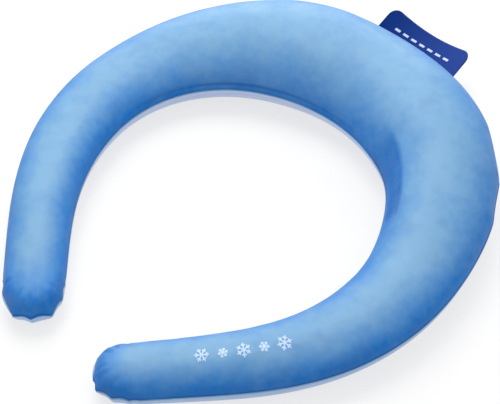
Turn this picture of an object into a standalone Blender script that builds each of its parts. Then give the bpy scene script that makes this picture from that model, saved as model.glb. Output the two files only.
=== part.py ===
"""Cooling neck ring: a C-shaped tube of two films, welded edge to edge and filled with gel.

The ring lies on its lower film. +Z is up and +Y points from the neck hollow to the nape and its
tab. The origin is the middle of the base. All sizes are in metres.
"""
import math
from collections import namedtuple

import bmesh
import bpy
import numpy as np

# The tube
ARM_LENGTH = 0.2290         # along the middle of the tube, from the nape to the end of a tip
ARM_SHARES = {"right": 0.990, "left": 1.0}  # the right arm is a little shorter
NAPE_WIDTH = 0.0465         # across the tube at the nape, without the weld lips
NAPE_RISE = 0.0235          # top of the tube above its weld at the nape
NAPE_WELD_HEIGHT = 0.0120   # weld above the base at the nape
REST_SHARE = 0.3            # flat resting band, as a share of the tube's width

# The tips
TIP_LENGTH = 0.0125         # stretch in which a tip closes like a pillow
TIP_END_SHARE = 0.58        # width of a tip's end, as a share of the tube there
TIP_ROUNDING = 2.6          # power of the curve that narrows a tip
TIP_BOW = 0.0040            # how far the tip's end bows out, over half of the tube's width
TIP_CLOSING = 3.0           # power of the curve that flattens a tip
BAY_PULL = 0.0005           # how far the weld is drawn in between two puckers
BAY_LIFT = 0.0010           # how far it stands up there
PUCKER_PINCH = 0.35         # share of the film's height that a pucker takes away
PUCKER_REACH = 0.60         # how far a pucker runs in from the weld, as a share of the tip

# The films, their weld and the gel
FILM_THICKNESS = 0.0010
LIP_WIDTH = 0.0007          # weld lip beyond the tube's wall
LIP_THICKNESS = 0.0006      # one film, pressed thin in the weld
FIT_CLEARANCE = 0.0003      # between any two pieces
HOLLOW_END_GAP = 0.0012     # from the end of the films' hollow to the end of a tip
GEL_END_GAP = 0.0030        # from the end of the gel to the end of a tip

# The tab
TAB_LENGTH = 0.0404
TAB_REACH = 0.0144          # from the weld lip at the nape to the tab's outer edge
TAB_OFFSET = -0.0015        # along the weld, from the middle of the nape
TAB_TILT = math.radians(20)
TAB_THICKNESS = 0.0012
TAB_CORNER = 0.0040
TAB_CURL = 0.0020           # how far the tab's outer corners stand up
TAB_EDGE_ROUND = 0.0003

# Fineness of the mesh
ARM_STEPS = 22              # stations from the nape to the start of a tip
TIP_STEPS = 7
FILM_FACES = 12             # faces round a film's wall
GEL_FACES = 8
TAB_CUTS = 11
CORNER_FACES = 4
TURN_STEPS = 600            # steps in following the tube's middle line
EDGE_STEPS = 60             # steps along the weld that the tab is seated on
SMOOTH_ANGLE = math.radians(40)

# The arms from the nape to a tip. share is the distance along an arm, and right and left are its
# headings in degrees, for soft arms don't bend quite alike. width, rise and weld are shares of
# NAPE_WIDTH, NAPE_RISE and NAPE_WELD_HEIGHT.
ArmRow = namedtuple("ArmRow", "share right left width rise weld")
ARM_ROWS = (
    ArmRow(0.00, 0.0, 0.0, 1.00, 1.00, 1.00),
    ArmRow(0.15, 25.0, 25.5, 1.00, 0.975, 1.085),
    ArmRow(0.30, 58.0, 51.0, 0.857, 0.775, 1.03),
    ArmRow(0.45, 78.0, 79.5, 0.713, 0.54, 0.945),
    ArmRow(0.60, 103.0, 107.0, 0.617, 0.465, 0.895),
    ArmRow(0.80, 130.0, 130.5, 0.496, 0.465, 0.825),
    ArmRow(1.00, 134.5, 135.0, 0.452, 0.37, 0.60),
)

# Puckers round each tip: degrees from straight ahead, from its inner side to its outer side.
# The first and the last angle are where the gathered stretch ends.
PUCKERS = {
    "right": (-84, -52, -26, 9, 28, 71, 96),
    "left": (-88, -55, -27, 3, 24, 74, 98),
}

# Shares along an arm where the film creases round the outside of its bend. The outer weld is drawn
# in between two creases.
CREASES = {
    "right": (0.174, 0.249, 0.313),
    "left": (),
}
CREASE_PULL = 0.0007

# Soft dents in the upper film. share is along the arm, around is in degrees from the outer weld,
# long is a share of ARM_LENGTH, wide is in degrees and deep is a share of NAPE_WIDTH.
Dent = namedtuple("Dent", "arm share around long wide deep")
DENTS = (
    Dent("right", 0.39, 152, 0.050, 16, 0.020),
    Dent("left", 0.55, 158, 0.045, 16, 0.010),
)

# One station of the tube, and one face of a film or of the gel. way is 1 above the weld and -1
# below it, inset is the depth inside the tube's outer face, foot is the height over the parting
# face where the wall starts, and end_gap is how far short of the tip's end the face closes.
Station = namedtuple("Station", "arm share in_tip x y ahead half_width rise weld beyond")
Face = namedtuple("Face", "way inset foot end_gap")

PARTING = FIT_CLEARANCE / 2
GEL_INSET = FILM_THICKNESS + FIT_CLEARANCE
MIRROR_SIDE = {"right": 1, "left": -1}

# Colour, as linear red, green and blue, and roughness
Finish = namedtuple("Finish", "colour roughness")
FINISHES = {
    "upper_film": Finish((0.078, 0.238, 0.571), 0.38),
    "lower_film": Finish((0.402, 0.474, 0.708), 0.42),
    "cooling_gel": Finish((0.180, 0.390, 0.680), 0.20),
    "label_tab": Finish((0.008, 0.030, 0.170), 0.55),
}


def arm_value(name, share):
    """One column of the arm's table at any share, on a smooth curve through its rows."""
    across_nape = -1 if name in MIRROR_SIDE else 1
    places = [-ARM_ROWS[1].share] + [row.share for row in ARM_ROWS]
    values = [getattr(row, name) for row in ARM_ROWS]
    values = [across_nape * values[1]] + values
    slopes = np.gradient(values, places)
    i = min(max(int(np.searchsorted(places, share)) - 1, 0), len(places) - 2)
    span = places[i + 1] - places[i]
    t = (share - places[i]) / span
    ease = t * t * (3 - 2 * t)
    leaving = t * (1 - t) ** 2 * span * slopes[i]
    arriving = t * t * (t - 1) * span * slopes[i + 1]
    return float(values[i] + ease * (values[i + 1] - values[i]) + leaving + arriving)


def middle_line(arm):
    """X and y at even steps along the middle of an arm, found by following its heading."""
    step = ARM_LENGTH * ARM_SHARES[arm] / TURN_STEPS
    shares = [(i + 0.5) / TURN_STEPS for i in range(TURN_STEPS)]
    ahead = np.radians([arm_value(arm, share) for share in shares])
    x = np.concatenate([[0.0], np.cumsum(np.cos(ahead) * step)])
    y = np.concatenate([[0.0], np.cumsum(-np.sin(ahead) * step)])
    return x, y


MIDDLE_SHARES = np.linspace(0.0, 1.0, TURN_STEPS + 1)
MIDDLE_LINES = {arm: middle_line(arm) for arm in MIRROR_SIDE}


def station_at(arm, run, beyond=0.0):
    """The tube at a distance from the nape. beyond moves the station on past the tip's end."""
    length = ARM_LENGTH * ARM_SHARES[arm]
    share = run / length
    x, y = MIDDLE_LINES[arm]
    return Station(
        arm=arm,
        share=share,
        in_tip=run - (length - TIP_LENGTH),
        x=float(np.interp(share, MIDDLE_SHARES, x)),
        y=float(np.interp(share, MIDDLE_SHARES, y)),
        ahead=math.radians(arm_value(arm, share)),
        half_width=NAPE_WIDTH / 2 * arm_value("width", share),
        rise=NAPE_RISE * arm_value("rise", share),
        weld=NAPE_WELD_HEIGHT * arm_value("weld", share),
        beyond=beyond,
    )


def ring_stations(end_gap=0.0, lip=0.0):
    """Stations from the left tip round the nape to the right tip."""
    tip_room = TIP_LENGTH - end_gap
    arms = {}
    for arm in MIRROR_SIDE:
        tip_start = ARM_LENGTH * ARM_SHARES[arm] - TIP_LENGTH
        runs = [tip_start * i / ARM_STEPS for i in range(ARM_STEPS)]
        runs += [tip_start + tip_room * math.sin(math.pi / 2 * i / TIP_STEPS) for i in range(TIP_STEPS + 1)]
        arms[arm] = [station_at(arm, run) for run in runs]
        if lip:
            arms[arm].append(station_at(arm, runs[-1], lip))
    return arms["left"][:0:-1] + arms["right"]


def plan_point(station, offset, height, ahead_by=0.0):
    """A point at an offset from the middle line, outwards from the ring, at a height."""
    out_x, out_y = math.sin(station.ahead), math.cos(station.ahead)
    ahead_by += station.beyond
    x = station.x + out_x * offset + out_y * ahead_by
    y = station.y + out_y * offset - out_x * ahead_by
    return MIRROR_SIDE[station.arm] * x, y, height


def gathers(station, offset):
    """Where a point lies in the gathered tip: the distance from the weld and from a pucker.

    bay is 1 midway between two puckers and 0 at a pucker. near is 1 at the weld and 0 inside.
    """
    along = station.in_tip
    marks = PUCKERS[station.arm]
    angle = math.degrees(math.atan2(offset, along))
    if along < -TIP_LENGTH or not marks[0] < angle < marks[-1]:
        return 1.0, 0.0
    i = int(np.searchsorted(marks, angle)) - 1
    bay = math.sin(math.pi * (angle - marks[i]) / (marks[i + 1] - marks[i]))
    reach = math.hypot(along / TIP_LENGTH, offset / station.half_width)
    near = min(max((reach - 1.0 + PUCKER_REACH) / PUCKER_REACH, 0.0), 1.0)
    settle = min(1.0 + along / TIP_LENGTH, 1.0)
    return bay, near * near * (3.0 - 2.0 * near) * settle


def dent_depth(station, angle):
    """How far the upper film is pushed in, at an angle round the tube."""
    depth = 0.0
    for dent in DENTS:
        if dent.arm == station.arm:
            along = (station.share - dent.share) / dent.long
            around = (math.degrees(angle) - dent.around) / dent.wide
            depth += dent.deep * NAPE_WIDTH * math.exp(-along ** 2 - around ** 2)
    return depth * min(2.0 * math.sin(angle), 1.0)


def gathered_point(station, face, offset, level):
    """A section's point after the puckers of a tip have moved it. level is from the parting face."""
    bay, near = gathers(station, offset)
    along = station.in_tip
    from_core = max(math.hypot(along, offset), TIP_LENGTH / 10)
    inwards = BAY_PULL * bay * near / from_core
    pinched = face.foot + (level - face.foot) * (1.0 - PUCKER_PINCH * (1.0 - bay) ** 2 * near)
    height = station.weld + BAY_LIFT * bay * near + face.way * (PARTING + pinched)
    tip = min(max(along / TIP_LENGTH, 0.0), 1.0)
    bow = TIP_BOW * (TIP_END_SHARE ** 2 - (offset / station.half_width) ** 2) * tip ** 2
    return plan_point(station, offset * (1.0 - inwards), height, bow - along * inwards)


def drawn_in(station):
    """How far the outer weld is drawn in between the creases of a bend."""
    marks = CREASES[station.arm]
    if not marks or not marks[0] < station.share < marks[-1]:
        return 0.0
    i = int(np.searchsorted(marks, station.share)) - 1
    return CREASE_PULL * math.sin(math.pi * (station.share - marks[i]) / (marks[i + 1] - marks[i]))


def tip_half_width(station, tip):
    """Half of the tube's width. tip is 0 where the tip begins and 1 at its end."""
    return station.half_width * (1.0 - (1.0 - TIP_END_SHARE) * tip ** TIP_ROUNDING)


def wall_point(station, face, angle):
    """A point of a face. angle goes from 0 at the outer weld to pi at the inner weld."""
    tip = min(max(station.in_tip / (TIP_LENGTH - face.end_gap), 0.0), 1.0)
    half = tip_half_width(station, tip) - face.inset
    full = station.rise if face.way > 0 else station.weld
    top = (full - PARTING - face.inset - face.foot) * math.sqrt(1.0 - tip ** TIP_CLOSING)
    swell = math.sin(angle)
    if face.way < 0:
        swell = min(swell / math.sqrt(1.0 - REST_SHARE ** 2), 1.0)
    offset = half * math.cos(angle) - drawn_in(station) * max(math.cos(angle), 0.0) ** 2
    level = face.foot + top * swell
    if face.way > 0:
        dent = dent_depth(station, angle)
        offset -= dent * math.cos(angle)
        level -= dent * math.sin(angle)
    return gathered_point(station, face, offset, level)


def lip_point(station, face, side):
    """A point on the edge of the weld lip; side is 1 on the outside of the ring, -1 inside."""
    tip = min(max(station.in_tip / TIP_LENGTH, 0.0), 1.0)
    offset = side * (tip_half_width(station, tip) + LIP_WIDTH) - drawn_in(station) * max(side, 0)
    return gathered_point(station, face, offset, face.foot)


def face_points(stations, face, faces, lip):
    """Rows of points over one face, a row for each station."""
    angles = [math.pi * i / faces for i in range(faces + 1)]
    rows = []
    for station in stations:
        row = [wall_point(station, face, angle) for angle in angles]
        if lip:
            row = [lip_point(station, face, 1)] + row + [lip_point(station, face, -1)]
        rows.append(row)
    return rows


def add_sheet(mesh, rows):
    """A flat grid, with each of its vertices then put at its point."""
    columns, steps = len(rows) - 1, len(rows[0]) - 1
    grid = bmesh.ops.create_grid(mesh, x_segments=columns, y_segments=steps, size=0.5)
    for vert in grid["verts"]:
        column = round((vert.co.x + 0.5) * columns)
        step = round((vert.co.y + 0.5) * steps)
        vert.co = rows[column][step]


def film(way):
    """One film: its outer face and its inner face, joined along the edge of the weld lip."""
    outer = Face(way, 0.0, LIP_THICKNESS, 0.0)
    inner = Face(way, FILM_THICKNESS, 0.0, HOLLOW_END_GAP)
    stations = ring_stations(lip=LIP_WIDTH)
    mesh = bmesh.new()
    for face in (outer, inner):
        add_sheet(mesh, face_points(stations, face, FILM_FACES, True))
    borders = [edge for edge in mesh.edges if edge.is_boundary]
    bmesh.ops.bridge_loops(mesh, edges=borders)
    return mesh


def gel():
    """The gel: a top face and a bottom face that meet in the weld's plane."""
    stations = ring_stations(end_gap=GEL_END_GAP)
    mesh = bmesh.new()
    for way in (1, -1):
        face = Face(way, GEL_INSET, -PARTING, GEL_END_GAP)
        add_sheet(mesh, face_points(stations, face, GEL_FACES, False))
    bmesh.ops.remove_doubles(mesh, verts=mesh.verts, dist=FIT_CLEARANCE / 100)
    return mesh


def weld_edge(arm):
    """Distance from the middle of the nape, Y and height along the outer edge of the weld lip."""
    runs = np.linspace(0.0, TAB_LENGTH, EDGE_STEPS)
    stations = [station_at(arm, run) for run in runs]
    points = [plan_point(s, s.half_width + LIP_WIDTH, s.weld) for s in stations]
    x, y, height = np.transpose(points)
    return np.abs(x), y, height


def tab_plate():
    """A flat plate with two round corners, its straight side along the X axis."""
    mesh = bmesh.new()
    bmesh.ops.create_cube(mesh, size=1.0)
    bmesh.ops.scale(mesh, vec=(TAB_LENGTH, TAB_REACH, TAB_THICKNESS), verts=mesh.verts)
    bmesh.ops.translate(mesh, vec=(0, TAB_REACH / 2, 0), verts=mesh.verts)
    corners = [edge for edge in mesh.edges if all(v.co.y > 0 for v in edge.verts)
               and edge.verts[0].co.x == edge.verts[1].co.x]
    bmesh.ops.bevel(mesh, geom=corners, offset=TAB_CORNER, segments=CORNER_FACES, profile=0.5,
                    affect="EDGES", material=-1)
    rims = [edge for edge in mesh.edges if edge.verts[0].co.z == edge.verts[1].co.z
            and max(v.co.y for v in edge.verts) > 0]
    bmesh.ops.bevel(mesh, geom=rims, offset=TAB_EDGE_ROUND, segments=2, profile=0.5,
                    affect="EDGES", material=-1)
    for i in range(1, TAB_CUTS + 1):
        at = TAB_LENGTH * (i / (TAB_CUTS + 1) - 0.5)
        geometry = mesh.verts[:] + mesh.edges[:] + mesh.faces[:]
        bmesh.ops.bisect_plane(mesh, geom=geometry, plane_co=(at, 0, 0), plane_no=(1, 0, 0))
    return mesh


def tab():
    """The tab: its plate seated along the weld lip, tilted up and curled at its corners."""
    mesh = tab_plate()
    lean, stand = math.sin(TAB_TILT), math.cos(TAB_TILT)
    seat = FIT_CLEARANCE + TAB_THICKNESS / 2 * lean
    edges = {arm: weld_edge(arm) for arm in MIRROR_SIDE}
    nape_y = edges["right"][1][0]
    outer_y = nape_y + seat + TAB_REACH * stand
    for vert in mesh.verts:
        along, out, through = vert.co.x, vert.co.y / TAB_REACH, vert.co.z
        x = along + TAB_OFFSET
        edge_x, edge_y, edge_height = edges["right" if x > 0 else "left"]
        base_y = np.interp(abs(x), edge_x, edge_y) + seat
        base_height = np.interp(abs(x), edge_x, edge_height)
        curl = TAB_CURL * (along / (TAB_LENGTH / 2)) ** 2 * out
        y = base_y + (outer_y - base_y) * out - through * lean
        height = base_height + TAB_REACH * lean * out + curl + through * stand
        vert.co = (x, y, height)
    return mesh


def material(name):
    finish = FINISHES[name]
    made = bpy.data.materials.new(name)
    made.use_nodes = True
    shader = made.node_tree.nodes["Principled BSDF"]
    shader.inputs["Base Color"].default_value = (*finish.colour, 1.0)
    shader.inputs["Roughness"].default_value = finish.roughness
    shader.inputs["Metallic"].default_value = 0.0
    return made


def middle_of_base(meshes):
    """The middle of the box round all the meshes, at the height of its base."""
    points = np.array([vert.co[:] for mesh in meshes for vert in mesh.verts])
    low, high = points.min(axis=0), points.max(axis=0)
    return (low[0] + high[0]) / 2, (low[1] + high[1]) / 2, low[2]


def add_object(name, mesh, origin):
    """A named object, its faces outwards and its place measured from the origin."""
    bmesh.ops.translate(mesh, vec=[-value for value in origin], verts=mesh.verts)
    bmesh.ops.recalc_face_normals(mesh, faces=mesh.faces)
    data = bpy.data.meshes.new(name)
    mesh.to_mesh(data)
    mesh.free()
    data.shade_smooth()
    data.set_sharp_from_angle(angle=SMOOTH_ANGLE)
    data.materials.append(material(name))
    bpy.context.collection.objects.link(bpy.data.objects.new(name, data))


def clear_scene():
    for thing in list(bpy.data.objects):
        bpy.data.objects.remove(thing, do_unlink=True)


def main():
    clear_scene()
    meshes = {
        "upper_film": film(1),
        "lower_film": film(-1),
        "cooling_gel": gel(),
        "label_tab": tab(),
    }
    origin = middle_of_base(meshes.values())
    for name, mesh in meshes.items():
        add_object(name, mesh, origin)


main()
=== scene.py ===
"""Looks of a cooling neck ring: two satin films welded edge to edge, their gel, and a woven tab.

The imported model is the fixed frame. The soft tube is modelled again here at a fine pitch, in the
same place, with the gathers of its tips, the fold over its inner weld and the soft waves of a
filled film. Each vertex is placed by code, so no cloth is simulated. All sizes are in metres.
"""
import math
from collections import namedtuple

import bmesh
import bpy
import numpy as np
from mathutils import Matrix, Vector, noise

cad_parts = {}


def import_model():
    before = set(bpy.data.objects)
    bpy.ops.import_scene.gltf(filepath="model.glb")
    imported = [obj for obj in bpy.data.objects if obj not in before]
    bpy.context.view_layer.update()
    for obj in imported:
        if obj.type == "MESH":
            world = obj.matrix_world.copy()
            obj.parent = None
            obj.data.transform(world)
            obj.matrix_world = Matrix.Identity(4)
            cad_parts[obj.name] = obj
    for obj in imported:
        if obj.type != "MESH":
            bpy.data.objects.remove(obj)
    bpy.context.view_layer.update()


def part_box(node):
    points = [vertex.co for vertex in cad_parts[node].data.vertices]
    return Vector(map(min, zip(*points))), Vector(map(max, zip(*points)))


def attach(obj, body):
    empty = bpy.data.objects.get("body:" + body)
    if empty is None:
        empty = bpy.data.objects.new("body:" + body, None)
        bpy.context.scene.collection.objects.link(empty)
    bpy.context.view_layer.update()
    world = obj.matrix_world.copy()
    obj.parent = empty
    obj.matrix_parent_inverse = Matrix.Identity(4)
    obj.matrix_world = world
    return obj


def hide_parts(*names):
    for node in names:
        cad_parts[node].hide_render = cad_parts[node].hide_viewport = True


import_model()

# Camera and light. Angles are in degrees, and azimuth 0 looks along +Y.
CAMERA_AZIMUTH = 43.6
CAMERA_ELEVATION = 49.2
CAMERA_DISTANCE = 0.615
CAMERA_LENS = 115.1
LOOK_AT = Vector((-0.00106, -0.00147, 0.0))
Softbox = namedtuple("Softbox", "name azimuth elevation distance size power")
SOFTBOXES = (
    Softbox("low_back", 223.6, 15, 1.5, 1.3, 17.0),
    Softbox("low_left", 343.6, 15, 1.5, 1.3, 5.8),
    Softbox("right", 103.6, 45, 1.5, 1.3, 4.7),
    Softbox("high_back", 253.6, 65, 0.6, 0.4, 2.4),
    Softbox("high_right", 193.6, 65, 0.6, 0.4, 0.9),
)
WORLD_LIGHT = 0.70
FLOOR_SIZE = 12.0
FLOOR_COLOUR = (0.22, 0.22, 0.22, 1.0)
FLOOR_GLOW = 0.66

# The tube
ARM_LENGTH = 0.2290         # along the middle of the tube, from the nape to the end of a tip
ARM_SHARES = {"right": 0.990, "left": 1.0}  # the right arm is a little shorter
NAPE_WIDTH = 0.0465         # across the tube at the nape, without the weld lips
NAPE_RISE = 0.0235          # top of the tube above its weld at the nape
NAPE_WELD_HEIGHT = 0.0120   # weld above the base at the nape
REST_SHARE = 0.3            # flat resting band, as a share of the tube's width

# The tips
TIP_LENGTH = 0.0125         # stretch in which a tip closes like a pillow
TIP_BOW = 0.0013            # how far the tip's end bows out
TIP_CLOSING = 4.2           # power of the curve that flattens a tip
BAY_PULL = 0.0005           # how far the weld is drawn in between two puckers
BAY_LIFT = 0.0010           # how far it stands up there
BAY_END = 16.0              # degrees past the last puckers in which the film is smooth again
WIDE_BAY = 20.0             # degrees from which a bay is wide, and over which it turns wide
LOWER_PEEK = 0.0006         # how far the lower film comes out under a wide bay
PUCKER_PINCH = 0.05         # share of the film's height that a pucker takes away
PUCKER_REACH = 0.45         # how far a pucker runs in from the weld, as a share of the tip

# The films, their weld and the gel
FILM_THICKNESS = 0.0010
SOLID_LIP_WIDTH = 0.0007    # weld lip of the frame's films
LIP_WIDTH = 0.0003          # weld lip beyond the tube's wall
WALL_GROWTH = 0.0004        # the wall stands this much further out, so the two lips end alike
LIP_THICKNESS = 0.0004      # one film, pressed thin in the weld
PARTING = 0.00006           # from the middle of the weld to either film
GEL_INSET = 0.0013          # from a film's outer face to the gel
HOLLOW_END_GAP = 0.0012     # from the end of the films' hollow to the end of a tip
GEL_END_GAP = 0.0030        # from the end of the gel to the end of a tip

# The tab
TAB_LENGTH = 0.0404
TAB_REACH = 0.0144          # from the weld lip at the nape to the tab's outer edge
TAB_OFFSET = -0.0015        # along the weld, from the middle of the nape
TAB_SEAT = 0.0003           # between the tab and the weld lip
TAB_TILT = math.radians(13)
TAB_THICKNESS = 0.0012
TAB_CORNER = 0.0040
TAB_CURL = 0.0030           # how far the tab's outer corners stand up
TAB_EDGE_ROUND = 0.0004

STITCHES = 7                # raised dashes along the tab
STITCH_ROW = 0.72           # length of their row, as a share of the tab
STITCH_LINE = 0.52          # how far out the row lies, as a share of the tab's reach
STITCH_SHARE = 0.6          # length of a dash, as a share of their pitch
STITCH_WIDTH = 0.0010
STITCH_HEIGHT = 0.0003

# The print: a row of snow crystals on the right arm. Each has its share along the arm, the reach
# of its arms and its turn in degrees.
CRYSTALS = (
    (0.840, 0.0026, 0.0),
    (0.808, 0.0018, 12.0),
    (0.777, 0.0026, 30.0),
    (0.746, 0.0018, -10.0),
    (0.715, 0.0026, 8.0),
)
TWIG_PLACE = 0.55           # where a crystal's twigs leave its arms, as a share of their reach
TWIG_SHARE = 0.34           # length of a twig, as a share of the same
TWIG_SLANT = 55.0           # degrees between a twig and its arm
PRINT_ANGLE = math.radians(82)
PRINT_LINE = 0.00042        # width of a printed bar
PRINT_THICKNESS = 0.00010
PRINT_SEAT = 0.4            # how far its middle stands out, as a share of its thickness

# Fineness of the mesh
ARM_STEPS = 190             # stations from the nape to the start of a tip
TIP_STEPS = 30
FILM_FACES = 56             # faces round a film's wall, besides the closer ones by the inner weld
FOLD_FACES = 14             # closer faces by the inner weld, where the fold runs
FOLD_SPAN = math.radians(16)
GEL_FACES = 32
TAB_CUTS = 47
TURN_STEPS = 1200           # steps in following the tube's middle line
EDGE_STEPS = 120            # steps along the weld that the tab is seated on
SMOOTH_ANGLE = math.radians(50)

# The arms from the nape to a tip. share is the distance along an arm, and right and left are its
# headings in degrees, for soft arms don't bend quite alike. width, rise and weld are shares of
# NAPE_WIDTH, NAPE_RISE and NAPE_WELD_HEIGHT.
ArmRow = namedtuple("ArmRow", "share right left width rise weld")
ARM_ROWS = (
    ArmRow(0.00, 0.0, 0.0, 1.00, 1.00, 1.00),
    ArmRow(0.15, 25.0, 25.5, 1.00, 0.975, 1.085),
    ArmRow(0.30, 58.0, 51.0, 0.857, 0.775, 1.03),
    ArmRow(0.45, 78.0, 79.5, 0.713, 0.54, 0.945),
    ArmRow(0.60, 103.0, 107.0, 0.617, 0.465, 0.895),
    ArmRow(0.80, 130.0, 130.5, 0.496, 0.465, 0.825),
    ArmRow(1.00, 134.5, 135.0, 0.452, 0.37, 0.60),
)

# How each side of a tip closes: half of its end, as a share of the tube there, and the power of
# the curve that narrows it.
TipSide = namedtuple("TipSide", "end rounding")
TIP_SIDES = {
    "right": {"inner": TipSide(0.68, 5.0), "outer": TipSide(0.60, 2.6)},
    "left": {"inner": TipSide(0.67, 2.6), "outer": TipSide(0.60, 2.6)},
}

# Puckers round each tip: degrees from straight ahead, from its inner side to its outer side.
# The first and the last angle are where the gathered stretch ends.
PUCKERS = {
    "right": (-80, -49, -31, 8, 24, 50, 84),
    "left": (-94, -60, -31, 1, 27, 78, 100),
}

# Shares along an arm where the film creases round the outside of its bend. The outer weld is drawn
# in between two creases.
CREASES = {
    "right": (0.174, 0.249, 0.313),
    "left": (),
}
CREASE_PULL = 0.0007

# Soft dents in the upper film. share is along the arm, around is in degrees from the outer weld,
# long is a share of ARM_LENGTH, wide is in degrees and deep is a share of NAPE_WIDTH. A negative
# depth is a bulge.
Dent = namedtuple("Dent", "arm share around long wide deep")
DENTS = (
    Dent("right", 0.39, 152, 0.050, 16, 0.020),
    Dent("left", 0.55, 158, 0.045, 16, 0.010),
)

# The fold over the inner weld. Its middle and reach are shares of an arm, to the right of the nape.
FOLD_MIDDLE = -0.22
FOLD_REACH = 0.36
FOLD_HEIGHT = 0.0027
FOLD_WIDTH = 0.0008
FOLD_DEPTH = 0.00045

# Soft waves of the film. The lengths are shares of an arm.
LUMP_LENGTH = 0.06
LUMP_DEPTH = 0.00030
LUMP_TURN = 1.6             # lumps for each radian round the tube
SMALL_LUMPS = 3.1           # how much closer together the small lumps are
SMALL_LUMP_SHARE = 0.35     # their depth, as a share of the large ones
ARMS_APART = 3.0            # in the noise, so that the arms have waves of their own
CROSS_FOLD_LENGTH = 0.034
CROSS_FOLD_DEPTH = 0.00006
CROSS_FOLD_MIDDLE = 0.27
CROSS_FOLD_REACH = 0.13
CROSS_FOLD_AROUND = 158     # degrees from the outer weld
CROSS_FOLD_SPAN = 20
CROSS_FOLD_STRAY = 1.5      # folds by which the noise moves them
CROSS_FOLD_NOISE = 1.3      # how close together that noise is

# The steep part of the inner wall, on the right arm: a soft ridge runs over it. It comes up slowly
# and ends at once, at these shares of the arm. The angles are degrees from the outer weld. Under
# the ridge the film also takes painted shade.
STEEP_STARTS = (0.090, 0.230)
STEEP_ENDS = (0.362, 0.394)
STEEP_RIDGE = 135.0
STEEP_HOLLOW = 155.0
STEEP_WIDTH = 9.0
STEEP_EDGE = 5.0            # degrees in which the painted shade comes on under the ridge
STEEP_DEPTH = 0.0005

# Painted light and shade: the film's colour goes from its deep tone at the weld to a paler tone on
# the crown, where more light falls; on the lower film the crown is its underside, and its tone
# there is painted shade. It stays pale for longer on the inside of the nape, most of all towards
# the left arm.
CROWN_SHADING_LAYER = "crown"
CROWN_POWER = 2.2
NAPE_INNER_POWER = 1.0
NAPE_INNER_TURN = 1.1       # how much the power grows over a right arm's length
NAPE_END = 0.60             # share of an arm where the inside fades as the outside does
NAPE_FADE = 0.35            # shares before it in which that comes about
TIP_SHADE_LENGTHS = {"right": 0.016, "left": 0.026}  # before the end of a tip, where painted shade deepens the crown

# Painted shade: the film is darkened where shade falls, in its creases, under the steep ridge, on
# the outer underside and round a tip's puckers. These are the shares of the painted dark tone, and
# where it lies.
CREASE_SHADE_LAYER = "crease_shade"
FOLD_TONE = 0.55
STEEP_TONE = 0.30
STEEP_CROWN_LOSS = 0.6      # share of the painted pale light that the steep part loses, as painted shade
UNDERSIDE_TONE = 0.30
UNDERSIDE_START = 0.40      # share of an arm from which its outer underside takes painted shade
UNDERSIDE_GROWTH = 0.3
UNDERSIDE_SPAN = 26.0       # degrees from the outer weld
GATHER_TONE = 0.20
SPOT_TONE = 0.35            # of a painted dark spot of shade at a pucker
SPOT_REACH = 0.74           # from the core of a tip to the spots, as a share of the tip
SPOT_SIZE = 0.15
SPOTS_PER_METRE = 400.0
RIM_TONE = 0.85
RIM_START = 0.2             # share of an arm from which the lower film's rim takes painted shade
RIM_GROWTH = 0.25
RIM_SPAN = 55.0             # degrees from the outer weld
RIM_GATHER_TONE = 0.80
RIM_DARKEST = 0.90

# Surfaces. A row of noise holds how close together it is, its detail, and its lowest and highest
# value.
PATCHES = (65.0, 4.0, -0.13, 0.13)
SPECKS = (260.0, 3.0, -0.07, 0.07)
CREASE_SHADE_PATCHES = (110.0, 3.0, -0.12, 0.12)
FILM_GRAIN = (1500.0, 2.0, 0.0, 1.0)
GEL_PATCHES = (120.0, 4.0, 0.0, 1.0)
GEL_BUBBLES = (500.0, 3.0, 0.0, 1.0)
INK_WEAR = (900.0, 3.0, 0.0, 1.0)
ROUGH_PATCHES = (90.0, 3.0)
ROUGHNESS_SPREAD = 0.05
FILM_SHINE = 0.21
THREADS_PER_METRE = 700.0
THREAD_TONE = 0.25          # how much paler a thread is where two of them cross
WEAVE_LIGHT_GAIN = 0.75           # how much paler the weave is painted along the tab, as painted light
WEAVE_SHINE = 0.02
BLUE_FILM = {
    "at_weld": (0.001, 0.130, 0.430),
    "on_crown": (0.126, 0.262, 0.414),
    "shade_tone": (0.001, 0.056, 0.245),
    "roughness": 0.50,
}
PALE_FILM = {
    "at_weld": (0.44, 0.53, 0.75),
    "on_crown": (0.43, 0.47, 0.58),
    "shade_tone": (0.27, 0.39, 0.60),
    "roughness": 0.45,
}
NAVY_WEAVE = {"darker": (0.001, 0.018, 0.115), "lighter": (0.022, 0.050, 0.220), "roughness": 0.7}
PALE_THREAD = {"darker": (0.38, 0.44, 0.62), "lighter": (0.48, 0.54, 0.72), "roughness": 0.6}
CLEAR_GEL = ((0.15, 0.35, 0.66), (0.24, 0.46, 0.74))
PALE_INK = ((0.30, 0.42, 0.62), (0.38, 0.50, 0.70))

Station = namedtuple("Station", "arm share in_tip x y ahead half_width rise weld beyond")
Face = namedtuple("Face", "way inset foot end_gap")
Gather = namedtuple("Gather", "bay wide near reach")
SIDES = {"right": 1, "left": -1}


def nape_place():
    """The middle of the nape on the floor, read from the frame's films and tab."""
    tab_low, tab_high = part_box("label_tab")
    film_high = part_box("lower_film")[1]
    x = (tab_low.x + tab_high.x) / 2 - TAB_OFFSET
    return Vector((x, film_high.y - SOLID_LIP_WIDTH - NAPE_WIDTH / 2, 0.0))


def arm_value(name, share):
    """One column of the arm's table at any share, on a smooth curve through its rows."""
    across_nape = -1 if name in SIDES else 1
    places = [-ARM_ROWS[1].share] + [row.share for row in ARM_ROWS]
    values = [getattr(row, name) for row in ARM_ROWS]
    values = [across_nape * values[1]] + values
    slopes = np.gradient(values, places)
    i = min(max(int(np.searchsorted(places, share)) - 1, 0), len(places) - 2)
    span = places[i + 1] - places[i]
    t = (share - places[i]) / span
    ease = t * t * (3 - 2 * t)
    leaving = t * (1 - t) ** 2 * span * slopes[i]
    arriving = t * t * (t - 1) * span * slopes[i + 1]
    return float(values[i] + ease * (values[i + 1] - values[i]) + leaving + arriving)


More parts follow.
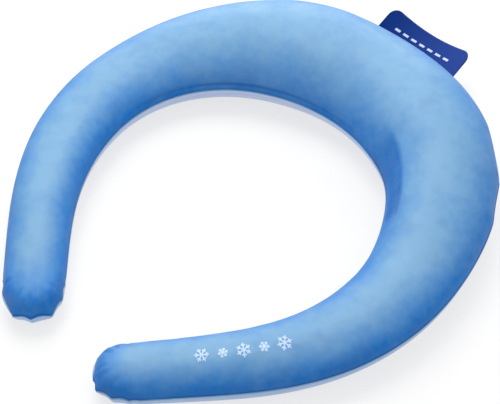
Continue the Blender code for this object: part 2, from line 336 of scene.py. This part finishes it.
def middle_line(arm):
    """X and y at even steps along the middle of an arm, found by following its heading."""
    step = ARM_LENGTH * ARM_SHARES[arm] / TURN_STEPS
    shares = [(i + 0.5) / TURN_STEPS for i in range(TURN_STEPS)]
    ahead = np.radians([arm_value(arm, share) for share in shares])
    x = np.concatenate([[0.0], np.cumsum(np.cos(ahead) * step)])
    y = np.concatenate([[0.0], np.cumsum(-np.sin(ahead) * step)])
    return x, y


MIDDLE_SHARES = np.linspace(0.0, 1.0, TURN_STEPS + 1)
MIDDLE_LINES = {arm: middle_line(arm) for arm in SIDES}


def station_at(arm, run, beyond=0.0):
    """The tube at a distance from the nape. beyond moves the station on past the tip's end."""
    length = ARM_LENGTH * ARM_SHARES[arm]
    share = run / length
    x, y = MIDDLE_LINES[arm]
    return Station(
        arm=arm,
        share=share,
        in_tip=run - (length - TIP_LENGTH),
        x=float(np.interp(share, MIDDLE_SHARES, x)),
        y=float(np.interp(share, MIDDLE_SHARES, y)),
        ahead=math.radians(arm_value(arm, share)),
        half_width=NAPE_WIDTH / 2 * arm_value("width", share),
        rise=NAPE_RISE * arm_value("rise", share),
        weld=NAPE_WELD_HEIGHT * arm_value("weld", share),
        beyond=beyond,
    )


def ring_stations(end_gap=0.0, lip=0.0):
    """Stations from the left tip round the nape to the right tip."""
    tip_room = TIP_LENGTH - end_gap
    arms = {}
    for arm in SIDES:
        tip_start = ARM_LENGTH * ARM_SHARES[arm] - TIP_LENGTH
        runs = [tip_start * i / ARM_STEPS for i in range(ARM_STEPS)]
        runs += [tip_start + tip_room * math.sin(math.pi / 2 * i / TIP_STEPS)
                 for i in range(TIP_STEPS + 1)]
        arms[arm] = [station_at(arm, run) for run in runs]
        if lip:
            arms[arm].append(station_at(arm, runs[-1], lip))
    return arms["left"][:0:-1] + arms["right"]


def plan_point(station, offset, height, ahead_by=0.0):
    """A point at an offset from the middle line, outwards from the ring, at a height."""
    out_x, out_y = math.sin(station.ahead), math.cos(station.ahead)
    ahead_by += station.beyond
    x = station.x + out_x * offset + out_y * ahead_by
    y = station.y + out_y * offset - out_x * ahead_by
    return SIDES[station.arm] * x, y, height


def soft_step(value):
    """0 below 0, 1 above 1, and a smooth way up between them."""
    value = min(max(value, 0.0), 1.0)
    return value * value * (3.0 - 2.0 * value)


def gathers(station, offset):
    """Where a point lies in the gathered tip.

    bay is 1 midway between two puckers and 0 at a pucker. wide is 0 for a narrow bay and 1 for a
    wide one. near is 1 at the weld and 0 inside. reach is 0 in the tip's core and 1 at the weld.
    """
    along = station.in_tip
    marks = PUCKERS[station.arm]
    angle = math.degrees(math.atan2(offset, along))
    past = max(marks[0] - angle, angle - marks[-1])
    if along < -TIP_LENGTH or past > BAY_END:
        return Gather(1.0, 0.0, 0.0, 0.0)
    reach = math.hypot(along / TIP_LENGTH, offset / station.half_width)
    near = soft_step((reach - 1.0 + PUCKER_REACH) / PUCKER_REACH)
    near *= min(1.0 + along / TIP_LENGTH, 1.0)
    if past >= 0.0:
        bay = math.sin(math.pi / 2 * past / BAY_END)
        return Gather(bay, 0.0, near * (1.0 - past / BAY_END), reach)
    i = int(np.searchsorted(marks, angle)) - 1
    bay = math.sin(math.pi * (angle - marks[i]) / (marks[i + 1] - marks[i]))
    wide = soft_step((marks[i + 1] - marks[i] - WIDE_BAY) / WIDE_BAY)
    return Gather(bay, wide, near, reach)


def dent_depth(station, angle):
    """How far the upper film is pushed in, at an angle round the tube."""
    depth = 0.0
    for dent in DENTS:
        if dent.arm == station.arm:
            along = (station.share - dent.share) / dent.long
            around = (math.degrees(angle) - dent.around) / dent.wide
            depth += dent.deep * NAPE_WIDTH * math.exp(-along ** 2 - around ** 2)
    return depth * min(2.0 * math.sin(angle), 1.0)


def fold_depth(station, angle):
    """The shallow valley over the inner weld, where the film was folded for welding."""
    share = station.share * SIDES[station.arm]
    along = (share - FOLD_MIDDLE) / FOLD_REACH
    if abs(along) >= 1.0 or angle < math.pi / 2:
        return 0.0
    above = station.rise * math.sin(angle) - FOLD_HEIGHT
    return FOLD_DEPTH * math.cos(math.pi / 2 * along) * math.exp(-(above / FOLD_WIDTH) ** 2)


def steep_share(station):
    """How far the steep part of the inner wall has come up, at a station."""
    if station.arm != "right":
        return 0.0
    start = (station.share - STEEP_STARTS[0]) / (STEEP_STARTS[1] - STEEP_STARTS[0])
    end = (station.share - STEEP_ENDS[0]) / (STEEP_ENDS[1] - STEEP_ENDS[0])
    return soft_step(start) * (1.0 - soft_step(end))


def steep_depth(station, angle):
    """The soft ridge over the steep part, and the hollow under it."""
    ridge = math.exp(-((math.degrees(angle) - STEEP_RIDGE) / STEEP_WIDTH) ** 2)
    hollow = math.exp(-((math.degrees(angle) - STEEP_HOLLOW) / STEEP_WIDTH) ** 2)
    return STEEP_DEPTH * steep_share(station) * (hollow - ridge)


def wave_depth(station, angle):
    """Soft lumps of the gel, and the small cross folds on the inside of a bend."""
    place = Vector((station.share / LUMP_LENGTH, angle * LUMP_TURN,
                    SIDES[station.arm] * ARMS_APART))
    depth = LUMP_DEPTH * noise.noise(place)
    depth += LUMP_DEPTH * SMALL_LUMP_SHARE * noise.noise(place * SMALL_LUMPS)
    bend = math.exp(-((station.share - CROSS_FOLD_MIDDLE) / CROSS_FOLD_REACH) ** 2)
    inside = math.exp(-((math.degrees(angle) - CROSS_FOLD_AROUND) / CROSS_FOLD_SPAN) ** 2)
    stray = CROSS_FOLD_STRAY * noise.noise(place * CROSS_FOLD_NOISE)
    phase = station.share / CROSS_FOLD_LENGTH + stray
    depth += CROSS_FOLD_DEPTH * bend * inside * math.sin(2 * math.pi * phase)
    return depth * math.sin(angle)


def gathered_point(station, face, offset, level):
    """A section's point after a tip's puckers have moved it. level is from the parting face."""
    gather = gathers(station, offset)
    along = station.in_tip
    from_core = max(math.hypot(along, offset), TIP_LENGTH / 10)
    pull = BAY_PULL if face.way > 0 else BAY_PULL - LOWER_PEEK * gather.wide
    inwards = pull * gather.bay * gather.near / from_core
    pinch = PUCKER_PINCH * (1.0 - gather.bay) ** 2 * gather.near
    pinched = face.foot + (level - face.foot) * (1.0 - pinch)
    height = station.weld + BAY_LIFT * gather.bay * gather.near + face.way * (PARTING + pinched)
    tip = min(max(along / TIP_LENGTH, 0.0), 1.0)
    out = offset / (station.half_width * tip_side(station, offset).end)
    bow = TIP_BOW * (1.0 - out ** 2) * tip ** 2
    return plan_point(station, offset * (1.0 - inwards), height, bow - along * inwards)


def drawn_in(station):
    """How far the outer weld is drawn in between the creases of a bend."""
    marks = CREASES[station.arm]
    if not marks or not marks[0] < station.share < marks[-1]:
        return 0.0
    i = int(np.searchsorted(marks, station.share)) - 1
    return CREASE_PULL * math.sin(math.pi * (station.share - marks[i]) / (marks[i + 1] - marks[i]))


def tip_side(station, offset):
    """How the tip closes on the side that a point lies on."""
    return TIP_SIDES[station.arm]["outer" if offset > 0 else "inner"]


def tip_half_width(station, tip, offset):
    """Half of the tube's width on one side. tip is 0 where the tip begins and 1 at its end."""
    half_width = station.half_width + WALL_GROWTH
    side = tip_side(station, offset)
    return half_width * (1.0 - (1.0 - side.end) * tip ** side.rounding)


def wall_point(station, face, angle):
    """A point of a face. angle goes from 0 at the outer weld to pi at the inner weld."""
    tip = min(max(station.in_tip / (TIP_LENGTH - face.end_gap), 0.0), 1.0)
    half = tip_half_width(station, tip, math.cos(angle)) - face.inset
    full = station.rise if face.way > 0 else station.weld
    top = (full - PARTING - face.inset - face.foot) * math.sqrt(1.0 - tip ** TIP_CLOSING)
    swell = math.sin(angle)
    if face.way < 0:
        swell = min(swell / math.sqrt(1.0 - REST_SHARE ** 2), 1.0)
    offset = half * math.cos(angle) - drawn_in(station) * max(math.cos(angle), 0.0) ** 2
    level = face.foot + top * swell
    if face.way > 0:
        dent = dent_depth(station, angle) + fold_depth(station, angle)
        dent += steep_depth(station, angle) + wave_depth(station, angle)
        offset -= dent * math.cos(angle)
        level -= dent * math.sin(angle)
    return gathered_point(station, face, offset, level)


def lip_point(station, face, side):
    """A point on the edge of the weld lip; side is 1 on the outside of the ring, -1 inside."""
    tip = min(max(station.in_tip / TIP_LENGTH, 0.0), 1.0)
    offset = side * (tip_half_width(station, tip, side) + LIP_WIDTH)
    offset -= drawn_in(station) * max(side, 0)
    return gathered_point(station, face, offset, face.foot)


def under_ridge(station, angle):
    """1 on the steep part of the inner wall, under its ridge, where painted shade goes."""
    return steep_share(station) * soft_step((math.degrees(angle) - STEEP_RIDGE) / STEEP_EDGE)


def crown_shading_round(station, angle):
    """How far painted light and shade take the film from its weld tone round the tube: 0 at the
    weld and 1 on top.
    """
    power = CROWN_POWER
    if angle > math.pi / 2:
        nape_power = NAPE_INNER_POWER + NAPE_INNER_TURN * station.share * SIDES[station.arm]
        power -= (CROWN_POWER - nape_power) * soft_step((NAPE_END - station.share) / NAPE_FADE)
    return abs(math.sin(angle)) ** power * (1.0 - STEEP_CROWN_LOSS * under_ridge(station, angle))


def outer_side(station, angle, start, growth, span):
    """1 by the outer weld, past a share of the arm. It falls off over a span in degrees."""
    along = soft_step((station.share - start) / growth)
    return along * math.exp(-(math.degrees(angle) / span) ** 2)


def crease_shade_share(station, angle):
    """How much painted shade the film takes in its creases: the fold, the steep part, the outer
    underside and the puckers of a tip.
    """
    offset = station.half_width * math.cos(angle)
    gather = gathers(station, offset)
    # Painted shade: dark spots at the puckers.
    spot = (1.0 - gather.bay) ** 2 * math.exp(-((gather.reach - SPOT_REACH) / SPOT_SIZE) ** 2)
    spot *= 0.5 + noise.noise(Vector((station.in_tip, offset, 0.0)) * SPOTS_PER_METRE)
    underside = outer_side(station, angle, UNDERSIDE_START, UNDERSIDE_GROWTH, UNDERSIDE_SPAN)
    dark = FOLD_TONE * fold_depth(station, angle) / FOLD_DEPTH
    dark += STEEP_TONE * under_ridge(station, angle) + UNDERSIDE_TONE * underside
    return min(max(dark + GATHER_TONE * gather.near + SPOT_TONE * spot, 0.0), 1.0)


def rim_shade_share(station, angle):
    """How much painted shade the lower film's rim takes: on the outside of an arm, and round its
    tip.
    """
    outside = outer_side(station, angle, RIM_START, RIM_GROWTH, RIM_SPAN)
    gather = gathers(station, station.half_width * math.cos(angle))
    return min(RIM_TONE * outside + RIM_GATHER_TONE * gather.near, RIM_DARKEST)


def crown_shading_along(station):
    """How much of the painted crown light stays along an arm: 0 at a tip's end, where painted shade
    takes over, and 1 before that shade begins.
    """
    to_end = min(max((TIP_LENGTH - station.in_tip) / TIP_SHADE_LENGTHS[station.arm], 0.0), 1.0)
    return math.sin(math.pi / 2 * to_end)


def film_angles():
    """Angles round a film's wall, closer together by the inner weld."""
    start = math.pi - FOLD_SPAN
    wide = [start * i / FILM_FACES for i in range(FILM_FACES)]
    return wide + [start + FOLD_SPAN * i / FOLD_FACES for i in range(FOLD_FACES + 1)]


def face_points(stations, face, angles, lip):
    """Rows of points over one face, a row for each station."""
    rows = []
    for station in stations:
        row = [wall_point(station, face, angle) for angle in angles]
        if lip:
            row = [lip_point(station, face, 1)] + row + [lip_point(station, face, -1)]
        rows.append(row)
    return rows


def add_sheet(mesh, stations, face, angles, lip):
    """A flat grid, with each of its vertices then put at its point and told its painted light and
    shade.
    """
    rows = face_points(stations, face, angles, lip)
    crown = mesh.verts.layers.float[CROWN_SHADING_LAYER]
    crease_shade = mesh.verts.layers.float[CREASE_SHADE_LAYER]
    columns, steps = len(rows) - 1, len(rows[0]) - 1
    grid = bmesh.ops.create_grid(mesh, x_segments=columns, y_segments=steps, size=0.5,
                                 calc_uvs=True)
    for vert in grid["verts"]:
        column = round((vert.co.x + 0.5) * columns)
        step = round((vert.co.y + 0.5) * steps)
        vert.co = rows[column][step]
        station = stations[column]
        angle = angles[min(max(step - 1, 0), len(angles) - 1)] if lip else angles[step]
        # Painted light and shade for each vertex: the crown tone, then the shade of creases and of
        # the lower film's rim.
        if lip and step in (0, steps):
            vert[crown] = 1.0
        else:
            vert[crown] = crown_shading_along(station) * crown_shading_round(station, angle)
            vert[crease_shade] = crease_shade_share(station, angle)
        if face.way < 0:
            # Painted shade on the lower film's rim.
            vert[crease_shade] = max(vert[crease_shade], rim_shade_share(station, angle))


def new_mesh():
    """An empty mesh with the layers of painted light and shade that a film's colours are read from.
    """
    mesh = bmesh.new()
    mesh.loops.layers.uv.new("along_and_around")
    mesh.verts.layers.float.new(CROWN_SHADING_LAYER)
    mesh.verts.layers.float.new(CREASE_SHADE_LAYER)
    return mesh


def skin(way):
    """One film: its outer face and its inner face, joined along the edge of the weld lip."""
    outer = Face(way, 0.0, LIP_THICKNESS, 0.0)
    inner = Face(way, FILM_THICKNESS, 0.0, HOLLOW_END_GAP)
    stations = ring_stations(lip=LIP_WIDTH)
    mesh = new_mesh()
    for face in (outer, inner):
        add_sheet(mesh, stations, face, film_angles(), True)
    borders = [edge for edge in mesh.edges if edge.is_boundary]
    bmesh.ops.bridge_loops(mesh, edges=borders)
    return mesh


def gel():
    """The gel: a top face and a bottom face that meet in the weld's plane."""
    stations = ring_stations(end_gap=GEL_END_GAP)
    angles = [math.pi * i / GEL_FACES for i in range(GEL_FACES + 1)]
    mesh = new_mesh()
    for way in (1, -1):
        face = Face(way, GEL_INSET, -PARTING, GEL_END_GAP)
        add_sheet(mesh, stations, face, angles, False)
    bmesh.ops.remove_doubles(mesh, verts=mesh.verts, dist=PARTING / 50)
    return mesh


def weld_edge(arm):
    """Distance from the middle of the nape, Y and height along the outer edge of the weld lip."""
    runs = np.linspace(0.0, TAB_LENGTH, EDGE_STEPS)
    stations = [station_at(arm, run) for run in runs]
    points = [plan_point(s, s.half_width + SOLID_LIP_WIDTH, s.weld) for s in stations]
    x, y, height = np.transpose(points)
    return np.abs(x), y, height


def tab_plate():
    """A flat plate with two round corners, its straight side along the X axis."""
    mesh = bmesh.new()
    bmesh.ops.create_cube(mesh, size=1.0)
    bmesh.ops.scale(mesh, vec=(TAB_LENGTH, TAB_REACH, TAB_THICKNESS), verts=mesh.verts)
    bmesh.ops.translate(mesh, vec=(0, TAB_REACH / 2, 0), verts=mesh.verts)
    corners = [edge for edge in mesh.edges if all(v.co.y > 0 for v in edge.verts)
               and edge.verts[0].co.x == edge.verts[1].co.x]
    bmesh.ops.bevel(mesh, geom=corners, offset=TAB_CORNER, segments=10, profile=0.5,
                    affect="EDGES", material=-1)
    rims = [edge for edge in mesh.edges if edge.verts[0].co.z == edge.verts[1].co.z
            and max(v.co.y for v in edge.verts) > 0]
    bmesh.ops.bevel(mesh, geom=rims, offset=TAB_EDGE_ROUND, segments=4, profile=0.5,
                    affect="EDGES", material=-1)
    for i in range(1, TAB_CUTS + 1):
        at = TAB_LENGTH * (i / (TAB_CUTS + 1) - 0.5)
        geometry = mesh.verts[:] + mesh.edges[:] + mesh.faces[:]
        bmesh.ops.bisect_plane(mesh, geom=geometry, plane_co=(at, 0, 0), plane_no=(1, 0, 0))
    return mesh


def seat_on_weld(mesh):
    """Bends a plate made flat on the XY plane to its seat along the weld lip, tilted and curled."""
    lean, stand = math.sin(TAB_TILT), math.cos(TAB_TILT)
    seat = TAB_SEAT + TAB_THICKNESS / 2 * lean
    edges = {arm: weld_edge(arm) for arm in SIDES}
    nape_y = edges["right"][1][0]
    outer_y = nape_y + seat + TAB_REACH * stand
    for vert in mesh.verts:
        along, out, through = vert.co.x, vert.co.y / TAB_REACH, vert.co.z
        x = along + TAB_OFFSET
        edge_x, edge_y, edge_height = edges["right" if x > 0 else "left"]
        base_y = np.interp(abs(x), edge_x, edge_y) + seat
        base_height = np.interp(abs(x), edge_x, edge_height)
        curl = TAB_CURL * (along / (TAB_LENGTH / 2)) ** 2 * out
        y = base_y + (outer_y - base_y) * out - through * lean
        height = base_height + TAB_REACH * lean * out + curl + through * stand
        vert.co = (x, y, height)
    return mesh


def tab_stitches():
    """A plain row of raised dashes along the tab."""
    mesh = bmesh.new()
    pitch = TAB_LENGTH * STITCH_ROW / STITCHES
    for i in range(STITCHES):
        dash = bmesh.ops.create_cube(mesh, size=1.0)["verts"]
        at = (pitch * (i - (STITCHES - 1) / 2), TAB_REACH * STITCH_LINE, TAB_THICKNESS / 2)
        bmesh.ops.scale(mesh, vec=(pitch * STITCH_SHARE, STITCH_WIDTH, STITCH_HEIGHT), verts=dash)
        bmesh.ops.translate(mesh, vec=at, verts=dash)
    bmesh.ops.subdivide_edges(mesh, edges=mesh.edges[:], cuts=2, use_grid_fill=True)
    return seat_on_weld(mesh)


def crystal_bars(reach):
    """The bars of a six-armed snow crystal: middle, angle in degrees, and length."""
    bars = []
    for arm in range(6):
        turn = 60.0 * arm
        ahead = Vector((math.cos(math.radians(turn)), math.sin(math.radians(turn)), 0.0))
        bars.append((ahead * reach * 0.5, turn, reach))
        for side in (-1, 1):
            slant = turn + side * TWIG_SLANT
            twig = Vector((math.cos(math.radians(slant)), math.sin(math.radians(slant)), 0.0))
            middle = ahead * reach * TWIG_PLACE + twig * reach * TWIG_SHARE / 2
            bars.append((middle, slant, reach * TWIG_SHARE))
    return bars


def crystal_print():
    """A row of printed snow crystals, each bar laid on the upper film of the right arm."""
    mesh = bmesh.new()
    for share, reach, turned in CRYSTALS:
        crystal = bmesh.new()
        for middle, turn, length in crystal_bars(reach):
            bar = bmesh.ops.create_cube(crystal, size=1.0)["verts"]
            bmesh.ops.scale(crystal, vec=(length, PRINT_LINE, PRINT_THICKNESS), verts=bar)
            bar_turn = Matrix.Rotation(math.radians(turn + turned), 3, "Z")
            bmesh.ops.rotate(crystal, matrix=bar_turn, verts=bar)
            spin = Matrix.Rotation(math.radians(turned), 3, "Z")
            bmesh.ops.translate(crystal, vec=spin @ middle, verts=bar)
        bmesh.ops.subdivide_edges(crystal, edges=crystal.edges[:], cuts=2, use_grid_fill=True)
        for vert in crystal.verts:
            run = ARM_LENGTH * ARM_SHARES["right"] * share + vert.co.x
            station = station_at("right", run)
            angle = PRINT_ANGLE - vert.co.y / station.rise
            face = Face(1, -PRINT_THICKNESS * PRINT_SEAT - vert.co.z, LIP_THICKNESS, 0.0)
            vert.co = wall_point(station, face, angle)
        data = bpy.data.meshes.new("crystal")
        crystal.to_mesh(data)
        crystal.free()
        mesh.from_mesh(data)
        bpy.data.meshes.remove(data)
    return mesh


def finished(name, mesh, material):
    """A named object in the frame, its faces outwards."""
    bmesh.ops.translate(mesh, vec=nape_place(), verts=mesh.verts)
    bmesh.ops.recalc_face_normals(mesh, faces=mesh.faces)
    data = bpy.data.meshes.new(name)
    mesh.to_mesh(data)
    mesh.free()
    data.shade_smooth()
    data.set_sharp_from_angle(angle=SMOOTH_ANGLE)
    data.materials.append(material)
    made = bpy.data.objects.new(name, data)
    bpy.context.collection.objects.link(made)
    return made


def new_material(name):
    """A material and its shader."""
    material = bpy.data.materials.new(name)
    material.use_nodes = True
    return material, material.node_tree.nodes["Principled BSDF"]


def node(material, kind, **values):
    """A shader node, with its settings and the values of its sockets."""
    made = material.node_tree.nodes.new(kind)
    for key, value in values.items():
        if key in made.inputs:
            made.inputs[key].default_value = value
        else:
            setattr(made, key, value)
    return made


def join(material, source, target):
    """Links one socket to another."""
    material.node_tree.links.new(source, target)


def clouds(material, scale, detail, low, high):
    """Soft noise over the object's own coordinates, between two values."""
    place = node(material, "ShaderNodeTexCoord").outputs["Object"]
    noise_node = node(material, "ShaderNodeTexNoise", Scale=scale, Detail=detail, Roughness=0.55)
    join(material, place, noise_node.inputs["Vector"])
    span = node(material, "ShaderNodeMapRange")
    span.inputs["From Min"].default_value = 0.3
    span.inputs["From Max"].default_value = 0.7
    span.inputs["To Min"].default_value = low
    span.inputs["To Max"].default_value = high
    join(material, noise_node.outputs["Fac"], span.inputs["Value"])
    return span.outputs["Result"]


def added(material, *values):
    """The sum of two or more values, held between 0 and 1."""
    total = values[0]
    for value in values[1:]:
        plus = node(material, "ShaderNodeMath", operation="ADD", use_clamp=True)
        join(material, total, plus.inputs[0])
        join(material, value, plus.inputs[1])
        total = plus.outputs["Value"]
    return total


def blend(material, share, low, high, target):
    """Sends a colour between two others to a socket."""
    mix = node(material, "ShaderNodeMix", data_type="RGBA")
    mix.inputs[6].default_value = (*low, 1.0)
    mix.inputs[7].default_value = (*high, 1.0)
    join(material, share, mix.inputs[0])
    join(material, mix.outputs[2], target)


def bumps(material, shader, height, strength, distance):
    """A fine relief of the surface."""
    bump = node(material, "ShaderNodeBump", Strength=strength, Distance=distance)
    join(material, height, bump.inputs["Height"])
    join(material, bump.outputs["Normal"], shader.inputs["Normal"])


def film_material(name, at_weld, on_crown, shade_tone, roughness):
    """A satin film: deep by the weld, painted paler on the crown as light and darker in its creases
    as shade, softly clouded, with a matt grain.
    """
    material, shader = new_material(name)
    # Painted light: the crown layer makes the film paler where light falls.
    crown = node(material, "ShaderNodeAttribute", attribute_name=CROWN_SHADING_LAYER).outputs["Fac"]
    patches = clouds(material, *PATCHES)
    specks = clouds(material, *SPECKS)
    tone = added(material, crown, patches, specks)
    # Painted shade: the crease layer darkens the film, in patches, where shade falls.
    crease_shade = node(material, "ShaderNodeAttribute", attribute_name=CREASE_SHADE_LAYER).outputs["Fac"]
    patchy_shade = added(material, crease_shade, clouds(material, *CREASE_SHADE_PATCHES))
    creased = node(material, "ShaderNodeMix", data_type="RGBA")
    creased.inputs[7].default_value = (*shade_tone, 1.0)
    blend(material, tone, at_weld, on_crown, creased.inputs[6])
    join(material, patchy_shade, creased.inputs[0])
    join(material, creased.outputs[2], shader.inputs["Base Color"])
    rough = clouds(material, *ROUGH_PATCHES,
                   roughness - ROUGHNESS_SPREAD, roughness + ROUGHNESS_SPREAD)
    join(material, rough, shader.inputs["Roughness"])
    shader.inputs["Specular IOR Level"].default_value = FILM_SHINE
    bumps(material, shader, clouds(material, *FILM_GRAIN), strength=0.05, distance=0.0002)
    return material


def gel_material():
    """Clear pale gel with fine bubbles."""
    material, shader = new_material("clear_gel")
    blend(material, clouds(material, *GEL_PATCHES), *CLEAR_GEL, shader.inputs["Base Color"])
    shader.inputs["Roughness"].default_value = 0.15
    bumps(material, shader, clouds(material, *GEL_BUBBLES), strength=0.2, distance=0.0003)
    return material


def weave_material(name, darker, lighter, roughness):
    """A fine weave: two sets of threads across each other, with painted light making it a little
    paler towards one end.
    """
    material, shader = new_material(name)
    place = node(material, "ShaderNodeTexCoord").outputs["Object"]
    threads = []
    for direction in ("X", "Y"):
        wave = node(material, "ShaderNodeTexWave", Scale=THREADS_PER_METRE, Distortion=0.4,
                    bands_direction=direction)
        join(material, place, wave.inputs["Vector"])
        threads.append(wave.outputs["Fac"])
    crossed = node(material, "ShaderNodeMath", operation="MULTIPLY")
    join(material, threads[0], crossed.inputs[0])
    join(material, threads[1], crossed.inputs[1])
    # Painted light: the weave grows paler along the tab.
    parts = node(material, "ShaderNodeSeparateXYZ")
    join(material, place, parts.inputs[0])
    painted_light_along = node(material, "ShaderNodeMapRange")
    painted_light_along.inputs["From Min"].default_value = -TAB_LENGTH / 2
    painted_light_along.inputs["From Max"].default_value = TAB_LENGTH / 2
    painted_light_along.inputs["To Max"].default_value = WEAVE_LIGHT_GAIN
    join(material, parts.outputs["X"], painted_light_along.inputs["Value"])
    thread = node(material, "ShaderNodeMath", operation="MULTIPLY")
    thread.inputs[1].default_value = THREAD_TONE
    join(material, crossed.outputs["Value"], thread.inputs[0])
    tone = added(material, painted_light_along.outputs["Result"], thread.outputs["Value"])
    blend(material, tone, darker, lighter, shader.inputs["Base Color"])
    shader.inputs["Roughness"].default_value = roughness
    shader.inputs["Specular IOR Level"].default_value = WEAVE_SHINE
    bumps(material, shader, crossed.outputs["Value"], strength=0.25, distance=0.0001)
    return material


def ink_material():
    """A pale print, a little worn."""
    material, shader = new_material("pale_ink")
    blend(material, clouds(material, *INK_WEAR), *PALE_INK, shader.inputs["Base Color"])
    shader.inputs["Roughness"].default_value = 0.45
    return material


def floor():
    """The pale floor that the ring lies on."""
    mesh = bmesh.new()
    bmesh.ops.create_grid(mesh, x_segments=1, y_segments=1, size=FLOOR_SIZE / 2)
    data = bpy.data.meshes.new("floor")
    mesh.to_mesh(data)
    mesh.free()
    material, shader = new_material("pale_floor")
    shader.inputs["Base Color"].default_value = FLOOR_COLOUR
    shader.inputs["Roughness"].default_value = 0.9
    shader.inputs["Specular IOR Level"].default_value = 0.1
    shader.inputs["Emission Color"].default_value = (1.0, 1.0, 1.0, 1.0)
    shader.inputs["Emission Strength"].default_value = FLOOR_GLOW
    data.materials.append(material)
    made = bpy.data.objects.new("floor", data)
    bpy.context.collection.objects.link(made)


def back_from(azimuth, elevation):
    """The direction from the ring to an eye or a light."""
    azimuth, elevation = math.radians(azimuth), math.radians(elevation)
    level = math.cos(elevation)
    return Vector((math.sin(azimuth) * level, -math.cos(azimuth) * level, math.sin(elevation)))


def camera():
    """The photo's view, down on the ring from its open side."""
    data = bpy.data.cameras.new("camera")
    data.lens = CAMERA_LENS
    data.clip_start = 0.01
    made = bpy.data.objects.new("camera", data)
    back = back_from(CAMERA_AZIMUTH, CAMERA_ELEVATION)
    made.location = LOOK_AT + back * CAMERA_DISTANCE
    made.rotation_euler = (-back).to_track_quat("-Z", "Y").to_euler()
    bpy.context.collection.objects.link(made)
    bpy.context.scene.camera = made


def softbox(light):
    """A round light, turned to the ring."""
    data = bpy.data.lights.new(light.name, "AREA")
    data.shape = "DISK"
    data.size = light.size
    data.energy = light.power
    made = bpy.data.objects.new(light.name, data)
    back = back_from(light.azimuth, light.elevation)
    made.location = back * light.distance
    made.rotation_euler = (-back).to_track_quat("-Z", "Y").to_euler()
    bpy.context.collection.objects.link(made)


def world():
    """Even white light from all sides."""
    made = bpy.data.worlds.new("studio")
    made.use_nodes = True
    sky = made.node_tree.nodes["Background"]
    sky.inputs["Color"].default_value = (1.0, 1.0, 1.0, 1.0)
    sky.inputs["Strength"].default_value = WORLD_LIGHT
    bpy.context.scene.world = made


def dress(made, replaced=None):
    """Ties a piece to the frame, in place of one of its nodes where one is named."""
    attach(made, "root")
    if replaced:
        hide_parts(replaced)


def main():
    bpy.context.scene.view_settings.view_transform = "Standard"
    camera()
    world()
    floor()
    for light in SOFTBOXES:
        softbox(light)

    blue = film_material("blue_film", **BLUE_FILM)
    pale = film_material("pale_film", **PALE_FILM)
    navy = weave_material("navy_weave", **NAVY_WEAVE)
    thread = weave_material("pale_thread", **PALE_THREAD)
    upper = finished("upper_skin", skin(1), blue)
    lower = finished("lower_skin", skin(-1), pale)
    filling = finished("gel_filling", gel(), gel_material())
    label = finished("woven_tab", seat_on_weld(tab_plate()), navy)
    stitches = finished("tab_stitches", tab_stitches(), thread)
    crystals = finished("crystal_print", crystal_print(), ink_material())

    dress(upper, "upper_film")
    dress(lower, "lower_film")
    dress(filling, "cooling_gel")
    dress(label, "label_tab")
    dress(stitches)
    dress(crystals)


main()
